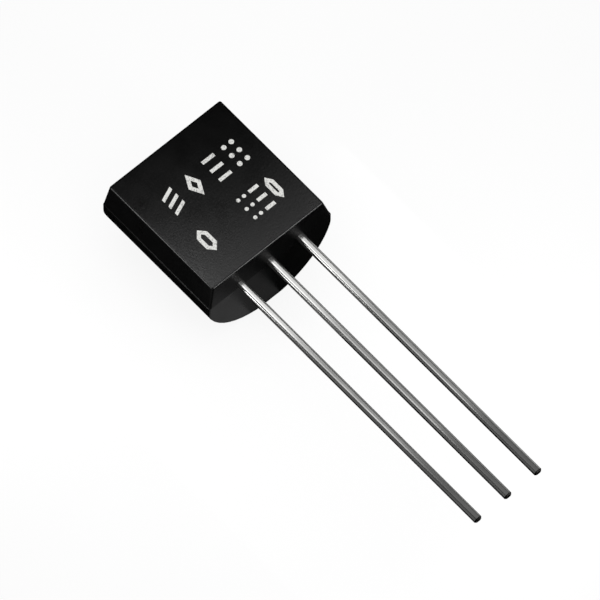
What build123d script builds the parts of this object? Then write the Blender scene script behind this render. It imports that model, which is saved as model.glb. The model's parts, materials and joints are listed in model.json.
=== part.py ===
from build123d import *
import math
import os

# A small-signal transistor in the TO-92 outline. It lies on its round back with its flat
# face up, as it comes to rest on a bench. +X runs along the leads to their tips, +Y runs
# across the flat face from the emitter side to the base side, and +Z is up.
# The origin is at the middle of the footprint, on the surface that the part lies on.
# All sizes are in millimetres.

# Moulded body. Its depth runs down from the flat face to the back.
body_width = 5.20  # widest, across the back half
body_height = 5.13  # from the top end to the end that the leads leave
body_depth = 3.48
parting_depth = 0.95  # from the flat face to the plane where the mould halves met
side_taper = 0.23  # draft of each side of the front half
top_taper = 0.06  # draft of the top end of the front half
lead_end_taper = 0.12  # draft of the end that the leads leave, in the front half
parting_ledge = 0.02  # how far the back half stands proud of the front half, each side
side_land = 0.44  # upright stretch of each side below the parting plane
back_land = 1.00  # width of the narrow flat along the middle of the round back
bend_radius = 1.00  # where the round back turns into the upright sides and the narrow flat
edge_radius = 0.08  # softened outer edges

# Lead frame. One sheet is stamped, so the leads, posts and paddle share its thickness.
# It lies on the parting plane, on the front half's side.
lead_pitch = 1.27
lead_width = 0.30
lead_thickness = 0.26
lead_edge_radius = 0.12  # the long edges are rounded by the solder dip
lead_tip_chamfer = 0.04
lead_length = 11.30  # outside the body
plate_corner_radius = 0.12  # stamped corners of the paddle and the posts

# The paddle is the wide end of the collector lead, and carries the die.
paddle_length = 1.80
paddle_width = 1.90
paddle_cover = 0.75  # moulding between the paddle and the body's top end

# A post is the wide inner end of the emitter lead or the base lead.
post_length = 0.90
post_width = 1.00
post_gap = 0.28  # between the paddle and the posts, along the leads

# Die and its bonding layer
die_side = 0.45
die_thickness = 0.20
attach_side = 0.52
attach_thickness = 0.02
pad_spacing = 0.22  # between the emitter pad and the base pad on the die

# Bond wires. Each has a ball on the die and a flattened stitch on its post.
wire_diameter = 0.025
ball_diameter = 0.080
ball_height = 0.030
loop_height = 0.26  # top of the loop above the die
loop_radius = 0.15
stitch_length = 0.14
stitch_width = 0.09
stitch_thickness = 0.03
stitch_inset = 0.28  # from the edges of the post nearest to the die

# Places that follow from the sizes
top_end_x = -(body_height + lead_length) / 2
lead_end_x = top_end_x + body_height
lead_tip_x = lead_end_x + lead_length
parting_z = body_depth - parting_depth
frame_bottom_z = parting_z
frame_top_z = frame_bottom_z + lead_thickness
paddle_x = top_end_x + paddle_cover + paddle_length / 2
post_x = paddle_x + paddle_length / 2 + post_gap + post_length / 2
attach_top_z = frame_top_z + attach_thickness
die_top_z = attach_top_z + die_thickness


def along_body(section):
    """A section drawn in Y and Z, run from the body's top end to its lead end."""
    return extrude(Plane.YZ.offset(top_end_x) * section, body_height)


def across_body(section):
    """A section drawn in X and Z, run from side to side of the body."""
    return extrude(Plane.XZ * section, body_width / 2, both=True)


def front_half():
    """Flat-faced half of the moulding, above the parting plane, with drafted sides and ends."""
    half_width = body_width / 2 - parting_ledge
    half_flat = half_width - side_taper
    right_side = [(half_width, parting_z), (half_flat, body_depth)]
    left_side = [(-half_flat, body_depth), (-half_width, parting_z)]
    drafted_sides = along_body(Polygon(*right_side, *left_side, align=None))

    lead_end = [(lead_end_x, parting_z), (lead_end_x - lead_end_taper, body_depth)]
    top_end = [(top_end_x + top_taper, body_depth), (top_end_x, parting_z)]
    drafted_ends = across_body(Polygon(*lead_end, *top_end, align=None))

    block = drafted_sides & drafted_ends
    outer_edges = [edge for edge in block.edges() if edge.center().Z > parting_z + edge_radius]
    return fillet(outer_edges, edge_radius)


def back_half():
    """Round-backed half of the moulding, below the parting plane."""
    half_land = back_land / 2
    shoulder_z = parting_z - side_land
    # The round is a circle centred on the mid-plane that meets the shoulders and the land's edges.
    centre_z = ((body_width / 2) ** 2 + shoulder_z**2 - half_land**2) / (2 * shoulder_z)
    circle = Pos(0, centre_z) * Circle(math.hypot(half_land, centre_z))

    upwards = (Align.CENTER, Align.MIN)
    round_back = circle & Rectangle(body_width, shoulder_z, align=upwards)
    upright_sides = Pos(0, shoulder_z) * Rectangle(body_width, side_land, align=upwards)
    section = round_back + upright_sides
    bends = [vertex for vertex in section.vertices() if vertex.Y < parting_z - side_land / 2]
    section = fillet(bends, bend_radius)

    block = along_body(section)
    outer_edges = [
        edge
        for end in block.faces().filter_by(Axis.X)
        for edge in end.edges()
        if edge.center().Z < parting_z - edge_radius / 2
    ]
    return fillet(outer_edges, edge_radius)


def lead_bar(start_x, y):
    """Straight lead from inside the moulding to its tip, with solder-rounded long edges."""
    middle_z = (frame_top_z + frame_bottom_z) / 2
    section = RectangleRounded(lead_width, lead_thickness, lead_edge_radius)
    start = Plane.YZ.offset(start_x) * Pos(y, middle_z)
    bar = extrude(start * section, lead_tip_x - start_x)
    tip = bar.faces().sort_by(Axis.X)[-1]
    return chamfer(tip.edges(), lead_tip_chamfer)


def stamped_plate(x, y, length, width):
    """Flat part of the lead frame, centred at x, y."""
    outline = Pos(x, y, frame_bottom_z) * RectangleRounded(length, width, plate_corner_radius)
    return extrude(outline, lead_thickness)


def post_lead(y):
    """Emitter or base lead: a straight lead that widens into its bond post."""
    return lead_bar(post_x, y) + stamped_plate(post_x, y, post_length, post_width)


def paddle_lead():
    """Collector lead: a straight lead that widens into the paddle."""
    return lead_bar(paddle_x, 0) + stamped_plate(paddle_x, 0, paddle_length, paddle_width)


def slab(side, thickness, bottom_z):
    """Square slab centred on the paddle."""
    place = Pos(paddle_x, 0, bottom_z)
    return place * Box(side, side, thickness, align=(Align.CENTER, Align.CENTER, Align.MIN))


def bond_wire(side):
    """Gold wire from its pad on the die to its post. side is -1 for the emitter, +1 for the base."""
    pad = Vector(paddle_x, side * pad_spacing / 2, die_top_z)
    stitch_x = post_x - post_length / 2 + stitch_inset
    stitch_y = side * (lead_pitch - post_width / 2 + stitch_inset)
    stitch = Vector(stitch_x, stitch_y, frame_top_z)

    level_run = Vector(stitch.X - pad.X, stitch.Y - pad.Y, 0)
    heading = level_run.normalized()
    loop_plane = Plane(origin=pad, x_dir=heading, z_dir=heading.cross(Vector(0, 0, 1)))
    wire_end = (level_run.length, stitch.Z + stitch_thickness / 2 - pad.Z)
    path = loop_plane * FilletPolyline((0, ball_height / 2), (0, loop_height), wire_end, radius=loop_radius)
    section = Plane(origin=path @ 0, z_dir=path % 0) * Circle(wire_diameter / 2)
    wire = sweep(section, path=path)

    on_surface = (Align.CENTER, Align.CENTER, Align.MIN)
    ball = Pos(pad) * Cylinder(ball_diameter / 2, ball_height, align=on_surface)
    stitch_plane = Plane(origin=stitch, x_dir=heading, z_dir=(0, 0, 1))
    flattened_end = stitch_plane * Box(stitch_length, stitch_width, stitch_thickness, align=on_surface)
    return ball + wire + flattened_end


inner_pieces = {
    "emitter_lead": post_lead(-lead_pitch),
    "collector_lead": paddle_lead(),
    "base_lead": post_lead(lead_pitch),
    "die_attach": slab(attach_side, attach_thickness, frame_top_z),
    "die": slab(die_side, die_thickness, attach_top_z),
    "emitter_bond_wire": bond_wire(-1),
    "base_bond_wire": bond_wire(1),
}

# The epoxy was moulded round the lead frame, so its cavities are exactly the inner pieces.
body = front_half() + back_half()
for piece in inner_pieces.values():
    body = body - piece

os.makedirs("parts", exist_ok=True)
export_step(body, "parts/body.step")
for name, piece in inner_pieces.items():
    export_step(piece, f"parts/{name}.step")
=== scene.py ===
import json
import math

import bmesh
import bpy
from mathutils import Matrix, Vector


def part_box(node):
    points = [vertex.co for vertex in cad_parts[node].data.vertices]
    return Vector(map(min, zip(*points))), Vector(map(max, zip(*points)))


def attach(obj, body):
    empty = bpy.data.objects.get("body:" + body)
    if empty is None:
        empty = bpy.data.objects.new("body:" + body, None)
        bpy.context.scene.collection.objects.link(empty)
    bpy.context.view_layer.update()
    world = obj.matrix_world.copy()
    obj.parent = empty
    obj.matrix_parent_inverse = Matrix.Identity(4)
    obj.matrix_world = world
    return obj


# A small-signal transistor in the TO-92 outline, lying on its round back with its flat face up.
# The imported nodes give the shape. This script adds the printed marks, every finish, the table,
# the lights and the camera.
# +X runs along the leads to their tips, +Y across the flat face, +Z up. Lengths are in metres.

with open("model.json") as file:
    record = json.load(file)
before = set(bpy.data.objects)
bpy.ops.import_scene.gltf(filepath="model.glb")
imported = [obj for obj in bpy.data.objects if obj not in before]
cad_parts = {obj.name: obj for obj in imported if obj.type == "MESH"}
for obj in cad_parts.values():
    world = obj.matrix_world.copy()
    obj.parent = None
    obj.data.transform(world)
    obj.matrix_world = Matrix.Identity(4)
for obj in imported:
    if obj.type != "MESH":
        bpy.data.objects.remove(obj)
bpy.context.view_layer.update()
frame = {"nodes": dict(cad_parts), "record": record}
bpy.ops.object.select_all(action="DESELECT")

MM = 0.001
BODY_LOW, BODY_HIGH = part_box("body")
TIP_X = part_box("collector_lead")[1].x
BODY_HEIGHT = BODY_HIGH.x - BODY_LOW.x
FLAT_Z = BODY_HIGH.z

# Tapers of the mould, which make the flat smaller than the body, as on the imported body
PARTING_LEDGE = 0.02 * MM
SIDE_TAPER = 0.23 * MM
TOP_TAPER = 0.06 * MM
LEAD_END_TAPER = 0.12 * MM
FLAT_WIDTH = BODY_HIGH.y - BODY_LOW.y - 2 * (PARTING_LEDGE + SIDE_TAPER)
FLAT_LENGTH = BODY_HEIGHT - TOP_TAPER - LEAD_END_TAPER
FLAT_TOP_X = BODY_LOW.x + TOP_TAPER


# ---- Materials: helpers ----

# Sockets of a colour Mix node, which share their names with the number sockets
MIX_FACTOR = 0
MIX_FIRST = 6
MIX_SECOND = 7
MIX_RESULT = 2

# Noise stays mostly between these two values, so a range taken from them is used in full.
NOISE_LOW = 0.3
NOISE_HIGH = 0.7


def tone(code):
    """An sRGB hex code as a linear colour."""
    levels = [int(code[start : start + 2], 16) / 255 for start in (1, 3, 5)]
    curve = [level / 12.92 if level <= 0.04045 else ((level + 0.055) / 1.055) ** 2.4 for level in levels]
    return (*curve, 1.0)


def per_metre(size_mm):
    """Scale of a pattern whose features are that many millimetres across."""
    return 1 / (size_mm * MM)


def add(tree, kind, inputs, **settings):
    """Adds a node with its settings. Each input is given a value, or a socket to link from."""
    made = tree.nodes.new(kind)
    for name, value in settings.items():
        setattr(made, name, value)
    for name, value in inputs.items():
        if isinstance(value, bpy.types.NodeSocket):
            tree.links.new(value, made.inputs[name])
        else:
            made.inputs[name].default_value = value
    return made


def new_material(name):
    """An empty material, its node tree and the object's own coordinates."""
    material = bpy.data.materials.new(name)
    material.use_nodes = True
    tree = material.node_tree
    tree.nodes.clear()
    place = add(tree, "ShaderNodeTexCoord", {}).outputs["Object"]
    return material, tree, place


def surface(tree, inputs):
    """Ends a tree with its shader."""
    shader = add(tree, "ShaderNodeBsdfPrincipled", inputs)
    add(tree, "ShaderNodeOutputMaterial", {"Surface": shader.outputs["BSDF"]})


# ---- Materials ----


def moulded_epoxy():
    """Black epoxy moulding compound, pressed in a spark-eroded mould.

    Carbon black makes it almost black and the silica filler makes it neutral and dull. The mould
    leaves fine pits, and the resin skin is a little smoother in cloudy patches.
    """
    speckle_mm = 0.11
    cloud_mm = 0.9
    # The pits are about 0.02 mm across on the real moulding, and are drawn larger to show.
    pit_mm = 0.05
    pit_depth = 0.012 * MM
    material, tree, place = new_material("black_epoxy_moulding")
    filler = add(
        tree,
        "ShaderNodeTexNoise",
        {"Vector": place, "Scale": per_metre(speckle_mm), "Detail": 3.0},
    )
    clouds = add(tree, "ShaderNodeTexNoise", {"Vector": place, "Scale": per_metre(cloud_mm), "Detail": 2.0})
    speckle = add(
        tree,
        "ShaderNodeMix",
        {MIX_FACTOR: filler.outputs["Fac"], MIX_FIRST: tone("#030303"), MIX_SECOND: tone("#080808")},
        data_type="RGBA",
    )
    dullness = add(
        tree,
        "ShaderNodeMapRange",
        {
            "Value": clouds.outputs["Fac"],
            "From Min": NOISE_LOW,
            "From Max": NOISE_HIGH,
            "To Min": 0.27,
            "To Max": 0.34,
        },
    )
    pits = add(tree, "ShaderNodeTexNoise", {"Vector": place, "Scale": per_metre(pit_mm), "Detail": 2.0})
    relief = add(
        tree,
        "ShaderNodeBump",
        {"Height": pits.outputs["Fac"], "Strength": 0.4, "Distance": pit_depth},
    )
    surface(
        tree,
        {
            "Base Color": speckle.outputs[MIX_RESULT],
            "Roughness": dullness.outputs["Result"],
            "IOR": 1.55,
            "Normal": relief.outputs["Normal"],
        },
    )
    return material


def tinned_lead():
    """Iron-alloy lead frame dipped in tin.

    The tin is a bright neutral metal. The dip leaves it slightly wavy along the lead, the rolled
    sheet shows through as fine lengthwise lines, and the cropped tips are bare dull iron.
    """
    # Drawn 25 times longer along the leads than across them
    lengthwise_stretch = (0.04, 1.0, 1.0)
    line_mm = 0.05
    line_depth = 0.001 * MM
    wave_mm = 0.22
    wave_depth = 0.008 * MM
    patch_mm = 0.5
    cropped_depth = 0.012 * MM
    cropped_extra_dullness = 0.3
    material, tree, place = new_material("dipped_tin_on_iron")
    lengthwise = add(tree, "ShaderNodeMapping", {"Vector": place, "Scale": lengthwise_stretch})
    rolled = add(
        tree,
        "ShaderNodeTexNoise",
        {"Vector": lengthwise.outputs["Vector"], "Scale": per_metre(line_mm), "Detail": 3.0},
    )
    waves = add(
        tree,
        "ShaderNodeTexNoise",
        {"Vector": lengthwise.outputs["Vector"], "Scale": per_metre(wave_mm), "Detail": 1.0},
    )
    patches = add(tree, "ShaderNodeTexNoise", {"Vector": place, "Scale": per_metre(patch_mm), "Detail": 3.0})
    tin = add(
        tree,
        "ShaderNodeMix",
        {MIX_FACTOR: patches.outputs["Fac"], MIX_FIRST: tone("#C9C9C8"), MIX_SECOND: tone("#E6E6E4")},
        data_type="RGBA",
    )
    along = add(tree, "ShaderNodeSeparateXYZ", {"Vector": place})
    cropped = add(
        tree,
        "ShaderNodeMath",
        {0: along.outputs["X"], 1: TIP_X - cropped_depth},
        operation="GREATER_THAN",
    )
    colour = add(
        tree,
        "ShaderNodeMix",
        {MIX_FACTOR: cropped.outputs[0], MIX_FIRST: tin.outputs[MIX_RESULT], MIX_SECOND: tone("#5E5C5A")},
        data_type="RGBA",
    )
    tin_dullness = add(
        tree,
        "ShaderNodeMapRange",
        {
            "Value": rolled.outputs["Fac"],
            "From Min": NOISE_LOW,
            "From Max": NOISE_HIGH,
            "To Min": 0.14,
            "To Max": 0.24,
        },
    )
    dullness = add(
        tree,
        "ShaderNodeMath",
        {0: cropped.outputs[0], 1: cropped_extra_dullness, 2: tin_dullness.outputs["Result"]},
        operation="MULTIPLY_ADD",
    )
    dip = add(
        tree,
        "ShaderNodeBump",
        {"Height": waves.outputs["Fac"], "Strength": 0.2, "Distance": wave_depth},
    )
    lines = add(
        tree,
        "ShaderNodeBump",
        {
            "Height": rolled.outputs["Fac"],
            "Strength": 0.1,
            "Distance": line_depth,
            "Normal": dip.outputs["Normal"],
        },
    )
    surface(
        tree,
        {
            "Base Color": colour.outputs[MIX_RESULT],
            "Metallic": 1.0,
            "Roughness": dullness.outputs[0],
            "Normal": lines.outputs["Normal"],
        },
    )
    return material


def silicon():
    """Polished silicon die, a dark grey mirror with two bright aluminium pads on its top."""
    pad_spacing = 0.22 * MM
    pad_half = 0.055 * MM
    haze_mm = 0.08
    material, tree, place = new_material("polished_silicon")
    die_low, die_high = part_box("die")
    centre_x = (die_low.x + die_high.x) / 2
    axes = add(tree, "ShaderNodeSeparateXYZ", {"Vector": place})
    along = add(tree, "ShaderNodeMath", {0: axes.outputs["X"], 1: centre_x}, operation="SUBTRACT")
    along_size = add(tree, "ShaderNodeMath", {0: along.outputs[0]}, operation="ABSOLUTE")
    across = add(tree, "ShaderNodeMath", {0: axes.outputs["Y"]}, operation="ABSOLUTE")
    from_pad = add(tree, "ShaderNodeMath", {0: across.outputs[0], 1: pad_spacing / 2}, operation="SUBTRACT")
    from_pad_size = add(tree, "ShaderNodeMath", {0: from_pad.outputs[0]}, operation="ABSOLUTE")
    furthest = add(
        tree,
        "ShaderNodeMath",
        {0: along_size.outputs[0], 1: from_pad_size.outputs[0]},
        operation="MAXIMUM",
    )
    pads = add(tree, "ShaderNodeMath", {0: furthest.outputs[0], 1: pad_half}, operation="LESS_THAN")
    haze = add(tree, "ShaderNodeTexNoise", {"Vector": place, "Scale": per_metre(haze_mm), "Detail": 2.0})
    wafer = add(
        tree,
        "ShaderNodeMix",
        {MIX_FACTOR: haze.outputs["Fac"], MIX_FIRST: tone("#6B6F7C"), MIX_SECOND: tone("#7F838F")},
        data_type="RGBA",
    )
    colour = add(
        tree,
        "ShaderNodeMix",
        {MIX_FACTOR: pads.outputs[0], MIX_FIRST: wafer.outputs[MIX_RESULT], MIX_SECOND: tone("#E4E6E8")},
        data_type="RGBA",
    )
    dullness = add(
        tree,
        "ShaderNodeMapRange",
        {
            "Value": haze.outputs["Fac"],
            "From Min": NOISE_LOW,
            "From Max": NOISE_HIGH,
            "To Min": 0.08,
            "To Max": 0.18,
        },
    )
    surface(
        tree,
        {
            "Base Color": colour.outputs[MIX_RESULT],
            "Metallic": 1.0,
            "Roughness": dullness.outputs["Result"],
        },
    )
    return material


def silver_bond():
    """Epoxy filled with silver flakes, which glint at slightly different strengths."""
    flake_mm = 0.012
    material, tree, place = new_material("silver_flake_epoxy")
    flakes = add(tree, "ShaderNodeTexVoronoi", {"Vector": place, "Scale": per_metre(flake_mm)})
    shade = add(tree, "ShaderNodeSeparateColor", {"Color": flakes.outputs["Color"]})
    colour = add(
        tree,
        "ShaderNodeMix",
        {MIX_FACTOR: shade.outputs[0], MIX_FIRST: tone("#A9A6A0"), MIX_SECOND: tone("#DEDBD5")},
        data_type="RGBA",
    )
    dullness = add(
        tree,
        "ShaderNodeMapRange",
        {"Value": shade.outputs[1], "To Min": 0.35, "To Max": 0.6},
    )
    surface(
        tree,
        {
            "Base Color": colour.outputs[MIX_RESULT],
            "Metallic": 1.0,
            "Roughness": dullness.outputs["Result"],
        },
    )
    return material


def gold_wire():
    """Pure gold wire, drawn through a die, so it is bright with slightly duller patches."""
    patch_mm = 0.02
    material, tree, place = new_material("drawn_gold")
    patches = add(tree, "ShaderNodeTexNoise", {"Vector": place, "Scale": per_metre(patch_mm), "Detail": 2.0})
    colour = add(
        tree,
        "ShaderNodeMix",
        {MIX_FACTOR: patches.outputs["Fac"], MIX_FIRST: tone("#F4D68C"), MIX_SECOND: tone("#FFE29D")},
        data_type="RGBA",
    )
    dullness = add(
        tree,
        "ShaderNodeMapRange",
        {
            "Value": patches.outputs["Fac"],
            "From Min": NOISE_LOW,
            "From Max": NOISE_HIGH,
            "To Min": 0.14,
            "To Max": 0.26,
        },
    )
    surface(
        tree,
        {
            "Base Color": colour.outputs[MIX_RESULT],
            "Metallic": 1.0,
            "Roughness": dullness.outputs["Result"],
        },
    )
    return material


def marking_ink():
    """Pale grey ink stamped thinly on the dull moulding, so the black shows through in specks."""
    speck_mm = 0.05
    full_cover_from = 0.5
    material, tree, place = new_material("thin_grey_ink")
    cover = add(tree, "ShaderNodeTexNoise", {"Vector": place, "Scale": per_metre(speck_mm), "Detail": 3.0})
    thin = add(
        tree,
        "ShaderNodeMapRange",
        {"Value": cover.outputs["Fac"], "From Min": NOISE_LOW, "From Max": full_cover_from},
    )
    colour = add(
        tree,
        "ShaderNodeMix",
        {MIX_FACTOR: thin.outputs["Result"], MIX_FIRST: tone("#7E7E7C"), MIX_SECOND: tone("#C6C6C3")},
        data_type="RGBA",
    )
    dullness = add(
        tree,
        "ShaderNodeMapRange",
        {
            "Value": cover.outputs["Fac"],
            "From Min": NOISE_LOW,
            "From Max": NOISE_HIGH,
            "To Min": 0.55,
            "To Max": 0.75,
        },
    )
    surface(
        tree,
        {
            "Base Color": colour.outputs[MIX_RESULT],
            "Roughness": dullness.outputs["Result"],
            "IOR": 1.5,
        },
    )
    return material


finishes = {
    "moulded_epoxy": moulded_epoxy(),
    "tinned_lead": tinned_lead(),
    "silicon": silicon(),
    "silver_bond": silver_bond(),
    "gold_wire": gold_wire(),
}

for subpart in frame["record"]["subparts"]:
    node = frame["nodes"][subpart["node"]]
    node.material_slots[0].material = finishes[subpart["material_slot"]]


# ---- Printed marks ----

# Two rows of plain shapes stand on the flat, their tops towards the body's top end.
MARK_HEIGHT = 0.95 * MM
WIDE = 0.50 * MM
NARROW = 0.38 * MM
STROKE = 0.13 * MM
DOT_SHARE = 0.36  # of a mark's width
DOT_POINTS = 24
INK_SUNK = 0.002 * MM
INK_PROUD = 0.006 * MM
MERGE_DISTANCE = 0.0001 * MM
ink = marking_ink()


def start_mark(name):
    """Names the new primitive and opens it for shaping, with all of it selected."""
    mark = bpy.context.object
    mark.name = name
    bpy.ops.object.mode_set(mode="EDIT")
    bpy.ops.mesh.select_all(action="SELECT")
    return mark


def finish_mark(mark, along, across):
    """Gives a flat shape its ink thickness and sets it on the flat.

    along runs from the flat's top end to its lead end and across from -Y to +Y, both from 0 to 1.
    """
    x = FLAT_TOP_X + along * FLAT_LENGTH
    y = (across - 0.5) * FLAT_WIDTH
    bpy.ops.mesh.select_all(action="SELECT")
    bpy.ops.mesh.extrude_region_move(TRANSFORM_OT_translate={"value": (0, 0, INK_SUNK + INK_PROUD)})
    bpy.ops.mesh.select_all(action="SELECT")
    bpy.ops.mesh.remove_doubles(threshold=MERGE_DISTANCE)
    bpy.ops.mesh.normals_make_consistent(inside=False)
    bpy.ops.transform.translate(value=(x, y, FLAT_Z - INK_SUNK))
    bpy.ops.object.mode_set(mode="OBJECT")
    mark.data.materials.append(ink)
    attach(mark, "root")


def outline_mark(name, corners, width, along, across):
    """Hollow shape with that many corners."""
    bpy.ops.object.select_all(action="DESELECT")
    bpy.ops.mesh.primitive_circle_add(vertices=corners, radius=0.5, fill_type="NGON")
    mark = start_mark(name)
    # A quarter turn points one corner up the body.
    bpy.ops.transform.rotate(value=math.pi / 2, orient_axis="Z", center_override=(0, 0, 0))
    bpy.ops.transform.resize(value=(MARK_HEIGHT, width, 1), center_override=(0, 0, 0))
    bpy.ops.mesh.inset(thickness=STROKE)
    bpy.ops.mesh.delete(type="FACE")
    finish_mark(mark, along, across)


def barred_mark(name, slant, width, along, across):
    """Three short bars, one above another. slant is how far their +Y ends lean up the body."""
    bar_count = 3
    step = (MARK_HEIGHT - STROKE - slant) / (bar_count - 1)
    bpy.ops.object.select_all(action="DESELECT")
    bpy.ops.mesh.primitive_plane_add(size=1)
    mark = start_mark(name)
    bpy.ops.transform.resize(value=(STROKE, width, 1), center_override=(0, 0, 0))
    lean_ends(mark, slant)
    bpy.ops.transform.translate(value=((STROKE + slant - MARK_HEIGHT) / 2, 0, 0))
    for _ in range(bar_count - 1):
        bpy.ops.mesh.duplicate_move(TRANSFORM_OT_translate={"value": (step, 0, 0)})
    finish_mark(mark, along, across)


def lean_ends(mark, slant):
    """Moves the +Y end of a bar up the body and its -Y end down, half of slant each."""
    for side in (-1, 1):
        bpy.ops.mesh.select_all(action="DESELECT")
        shape = bmesh.from_edit_mesh(mark.data)
        for corner in shape.verts:
            corner.select_set(corner.co.y * side > 0)
        shape.select_flush(True)
        bmesh.update_edit_mesh(mark.data)
        bpy.ops.transform.translate(value=(-side * slant / 2, 0, 0))
    bpy.ops.mesh.select_all(action="SELECT")


def dotted_mark(name, width, along, across):
    """Two columns of three round dots."""
    row_count = 3
    dot = DOT_SHARE * width
    step = (MARK_HEIGHT - dot) / (row_count - 1)
    columns_apart = width - dot
    bpy.ops.object.select_all(action="DESELECT")
    bpy.ops.mesh.primitive_circle_add(vertices=DOT_POINTS, radius=dot / 2, fill_type="NGON")
    mark = start_mark(name)
    bpy.ops.transform.translate(value=((dot - MARK_HEIGHT) / 2, -columns_apart / 2, 0))
    for _ in range(row_count - 1):
        bpy.ops.mesh.duplicate_move(TRANSFORM_OT_translate={"value": (step, 0, 0)})
    bpy.ops.mesh.select_all(action="SELECT")
    bpy.ops.mesh.duplicate_move(TRANSFORM_OT_translate={"value": (0, columns_apart, 0)})
    finish_mark(mark, along, across)


def print_marks():
    """Four shapes in the upper row, then one and a close group of three in the lower row."""
    diamond = 4
    hexagon = 6
    level = 0
    leaning = 0.2 * MM
    upper = 0.355
    lower = 0.709
    barred_mark("print_upper_leaning_bars", leaning, WIDE, along=upper, across=0.25)
    outline_mark("print_upper_diamond", diamond, WIDE, along=upper, across=0.44)
    barred_mark("print_upper_bars", level, WIDE, along=upper, across=0.64)
    dotted_mark("print_upper_dots", WIDE, along=upper, across=0.81)
    outline_mark("print_lower_hexagon", hexagon, WIDE, along=lower, across=0.22)
    dotted_mark("print_lower_dots", NARROW, along=lower, across=0.606)
    barred_mark("print_lower_bars", level, NARROW, along=lower, across=0.717)
    outline_mark("print_lower_hexagon_small", hexagon, NARROW, along=lower, across=0.828)


print_marks()


# ---- Camera, light and floor ----

AZIMUTH = math.radians(48.30)
ELEVATION = math.radians(62.07)
VIEW_WIDTH = 19.02 * MM
AIM_X = -1.406 * MM
AIM_Y = -0.248 * MM
OVERHEAD_RISE = 8.8 * MM  # of the overhead softboxes above the flat
# The way that a level surface mirrors the camera's line of sight
MIRRORED = Vector(
    (
        -math.sin(AZIMUTH) * math.cos(ELEVATION),
        math.cos(AZIMUTH) * math.cos(ELEVATION),
        math.sin(ELEVATION),
    )
)


def make_camera():
    """A long lens that looks down on the transistor, with VIEW_WIDTH across the view at the leads."""
    lead_low, lead_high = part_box("emitter_lead")
    aim = (AIM_X, AIM_Y, (lead_low.z + lead_high.z) / 2)
    lens = 1500.0
    sensor = 36.0
    data = bpy.data.cameras.new("long_lens")
    data.lens = lens
    data.sensor_width = sensor
    distance = VIEW_WIDTH * lens / sensor
    data.clip_start = distance / 2
    data.clip_end = distance * 2
    camera = bpy.data.objects.new("camera", data)
    bpy.context.scene.collection.objects.link(camera)
    turn = Matrix.Rotation(AZIMUTH, 4, "Z") @ Matrix.Rotation(math.pi / 2 - ELEVATION, 4, "X")
    camera.matrix_world = Matrix.Translation(aim) @ turn @ Matrix.Translation((0, 0, distance))
    bpy.context.scene.camera = camera


def softbox(name, width, depth, brightness):
    """A rectangular light that shines down from the origin."""
    data = bpy.data.lights.new(name, "AREA")
    data.shape = "RECTANGLE"
    data.size = width
    data.size_y = depth
    # Cycles makes an area light this bright when its power is four times its area.
    data.energy = 4 * brightness * width * depth
    light = bpy.data.objects.new(name, data)
    bpy.context.scene.collection.objects.link(light)
    light.visible_camera = False
    return light


def overhead(name, along, across, brightness):
    """A level softbox that the flat and the tops of the leads mirror over those ranges, in mm."""
    box = softbox(name, (along[1] - along[0]) * MM, (across[1] - across[0]) * MM, brightness)
    seen_at = Vector((sum(along) / 2, sum(across) / 2, 0)) * MM
    seen_at.z = FLAT_Z
    box.location = seen_at + MIRRORED * OVERHEAD_RISE / MIRRORED.z


def beside(name, place, towards, width, depth, brightness):
    """A softbox at a place in mm, shining towards a direction. width is level and depth is upright."""
    box = softbox(name, width * MM, depth * MM, brightness)
    box.rotation_mode = "QUATERNION"
    box.rotation_quaternion = Vector(towards).to_track_quat("-Z", "Y")
    box.location = Vector(place) * MM


def below(name, place, length, width, brightness):
    """A level softbox at a place in mm, shining up. length runs along the leads."""
    box = softbox(name, length * MM, width * MM, brightness)
    box.rotation_euler = (math.pi, 0, 0)
    box.location = Vector(place) * MM


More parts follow.
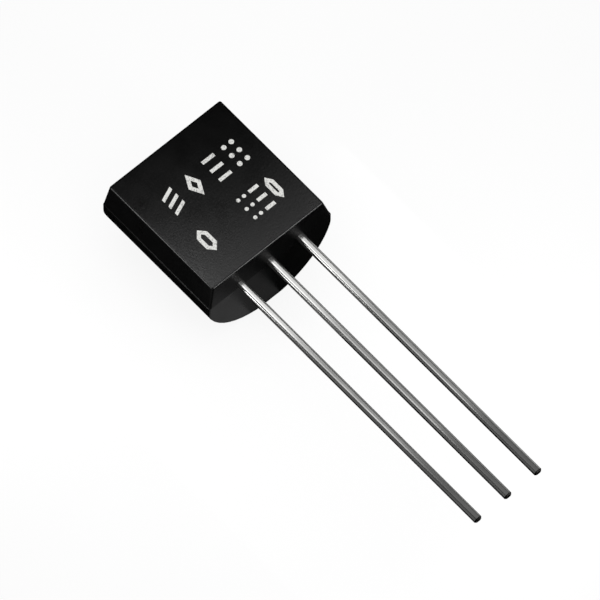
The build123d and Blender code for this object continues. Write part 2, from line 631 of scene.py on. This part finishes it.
def make_floor():
    """Lit opal table that the transistor lies on, so it casts next to no shadow."""
    table_radius = 500 * MM
    rim_points = 96
    grain_mm = 6
    bpy.ops.object.select_all(action="DESELECT")
    bpy.ops.mesh.primitive_circle_add(vertices=rim_points, radius=table_radius, fill_type="NGON")
    floor = bpy.context.object
    floor.name = "floor"
    material, tree, place = new_material("lit_opal_table")
    grain = add(tree, "ShaderNodeTexNoise", {"Vector": place, "Scale": per_metre(grain_mm)})
    opal = add(
        tree,
        "ShaderNodeMix",
        {MIX_FACTOR: grain.outputs["Fac"], MIX_FIRST: tone("#5C5C5C"), MIX_SECOND: tone("#606060")},
        data_type="RGBA",
    )
    surface(
        tree,
        {
            "Base Color": opal.outputs[MIX_RESULT],
            "Roughness": 0.9,
            "Emission Color": tone("#FFFFFF"),
            "Emission Strength": 0.86,
        },
    )
    floor.data.materials.append(material)
    floor.visible_glossy = False


def make_world():
    """Even white light from all round. Shiny surfaces mirror only the softboxes."""
    world = bpy.data.worlds.new("pale_room")
    bpy.context.scene.world = world
    world.use_nodes = True
    background = world.node_tree.nodes["Background"]
    background.inputs["Color"].default_value = tone("#FFFFFF")
    background.inputs["Strength"].default_value = 0.8
    world.cycles_visibility.glossy = False


def make_lights():
    """Softboxes overhead for the flat and the leads' tops, and lower ones for the edges and the end."""
    bright_side = (-8.0, -2.1)
    grey_side = (-2.1, 5.0)
    just_above_floor = 0.05
    overhead("key", along=(-3.8, -0.6), across=bright_side, brightness=1.35)
    overhead("key_edge", along=(-4.9, -2.9), across=(-7.0, -2.6), brightness=3.0)
    overhead("key_grey", along=(-3.8, -0.6), across=grey_side, brightness=0.8)
    overhead("middle", along=(-0.6, 3.0), across=bright_side, brightness=0.58)
    overhead("middle_grey", along=(-0.6, 4.9), across=grey_side, brightness=0.3)
    overhead("second", along=(3.0, 4.9), across=bright_side, brightness=0.85)
    overhead("tips", along=(4.9, 11.0), across=bright_side, brightness=0.12)
    overhead("tips_grey", along=(4.9, 11.0), across=grey_side, brightness=0.11)
    beside("leads_left", (1.5, -6.5, 4.9), towards=(0, 1, 0), width=13.5, depth=9.6, brightness=0.09)
    beside("leads_right", (0.5, 5.5, 3.0), towards=(0, -1, 0), width=12.5, depth=5.9, brightness=0.27)
    beside("side_edge", (-8.8, -10.3, 7.2), towards=(0.35, 0.88, -0.3), width=5.4, depth=5.0, brightness=3.2)
    beside("end_edge", (10.0, 4.5, 8.5), towards=(-0.88, -0.31, -0.36), width=6.0, depth=6.0, brightness=5.0)
    below("end_glow", (-1.95, -2.0, just_above_floor), length=2.2, width=2.4, brightness=0.16)
    below("end_fade", (-1.95, -0.2, just_above_floor), length=2.2, width=1.2, brightness=0.07)


make_floor()
make_world()
make_lights()
make_camera()
bpy.context.scene.view_settings.view_transform = "Standard"
